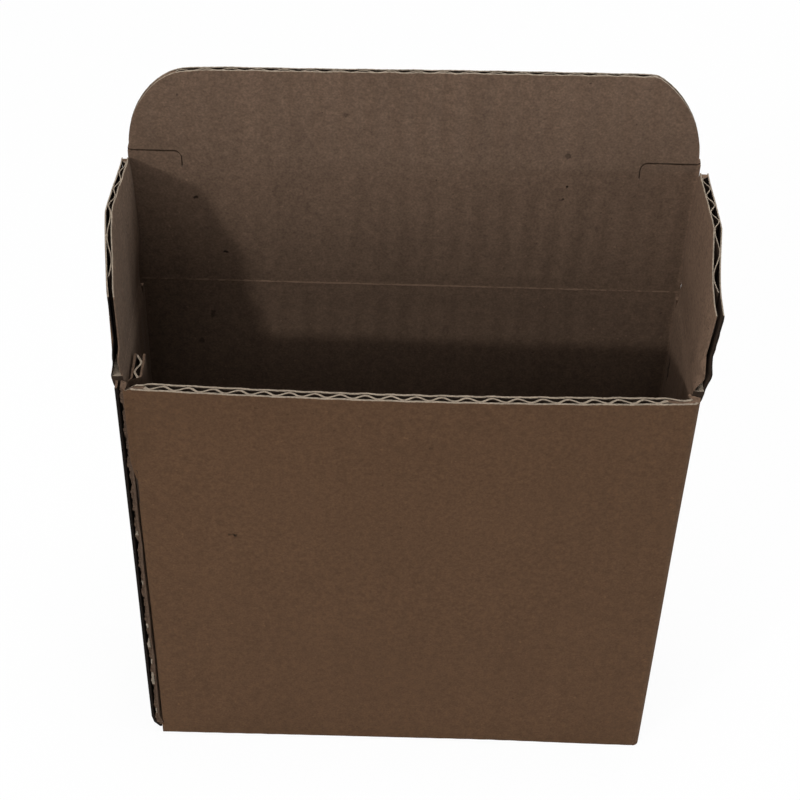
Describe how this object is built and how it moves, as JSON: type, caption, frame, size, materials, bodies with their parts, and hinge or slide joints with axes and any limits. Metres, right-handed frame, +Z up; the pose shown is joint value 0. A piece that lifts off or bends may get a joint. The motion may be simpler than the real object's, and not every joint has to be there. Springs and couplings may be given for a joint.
{
  "type": "bottle shipping box",
  "caption": "Narrow upright corrugated-board shipping box for bottles, with a tuck lid and dust flaps standing open above a closed tuck bottom.",
  "frame": {"origin": "middle of the base, on the surface that the box stands on", "axes": "+Z up, -Y out of the front panel, +X to the right as seen from the front"},
  "size_m": [0.1536, 0.0446, 0.2194],
  "materials": {
    "kraft_board": "matte brown kraft liner"
  },
  "bodies": {
    "carton": {"carton": "kraft_board"},
    "lid": {"lid": "kraft_board"},
    "lid_tuck": {"lid_tuck": "kraft_board"},
    "dust_flap_left": {"dust_flap_left": "kraft_board"},
    "dust_flap_right": {"dust_flap_right": "kraft_board"}
  },
  "joints": [
    {"name": "lid_crease", "type": "hinge", "parent": "carton", "child": "lid", "pos_m": [0, 0.02075, 0.1503], "axis": [1, 0, 0], "range_deg": [-115, 90]},
    {"name": "tuck_crease", "type": "hinge", "parent": "lid", "child": "lid_tuck", "pos_m": [0, 0.02075, 0.1884], "axis": [1, 0, 0], "range_deg": [-20, 90]},
    {"name": "left_flap_crease", "type": "hinge", "parent": "carton", "child": "dust_flap_left", "pos_m": [-0.0745, 0, 0.147], "axis": [0, 1, 0], "range_deg": [-124, 91]},
    {"name": "right_flap_crease", "type": "hinge", "parent": "carton", "child": "dust_flap_right", "pos_m": [0.0745, 0, 0.147], "axis": [0, -1, 0], "range_deg": [-124, 91]}
  ]
}
